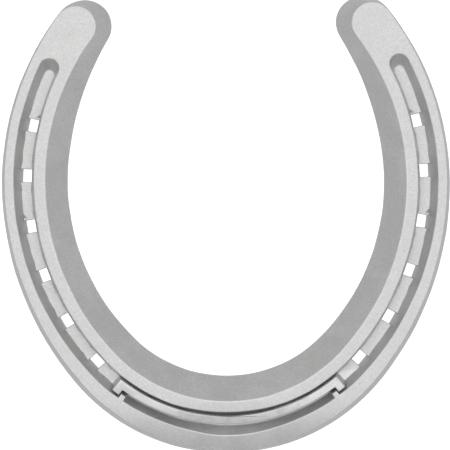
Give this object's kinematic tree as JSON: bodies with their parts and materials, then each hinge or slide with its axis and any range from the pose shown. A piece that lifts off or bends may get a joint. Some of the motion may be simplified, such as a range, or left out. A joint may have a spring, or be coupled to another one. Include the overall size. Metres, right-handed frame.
{
  "type": "horseshoe",
  "caption": "Fullered front horseshoe for racing, nailed to a hoof: flat U-shaped aluminium web with sloped inner edge, rolled toe and a T-headed steel wear insert in the toe crease.",
  "frame": {"origin": "middle of the shoe's bounding box, on the plane of the hoof face", "axes": "+Z out of the ground face, +Y from toe to heels, X across the branches; the shoe is the same on both sides of X = 0"},
  "size_m": [0.1328, 0.1347, 0.008],
  "materials": {
    "forged_aluminium": "shot-blasted, matt, light silver grey",
    "insert_steel": "blasted steel, matt, slightly darker than the shoe"
  },
  "bodies": {
    "root": {"shoe_body": "forged_aluminium", "toe_insert": "insert_steel"}
  },
  "joints": []
}
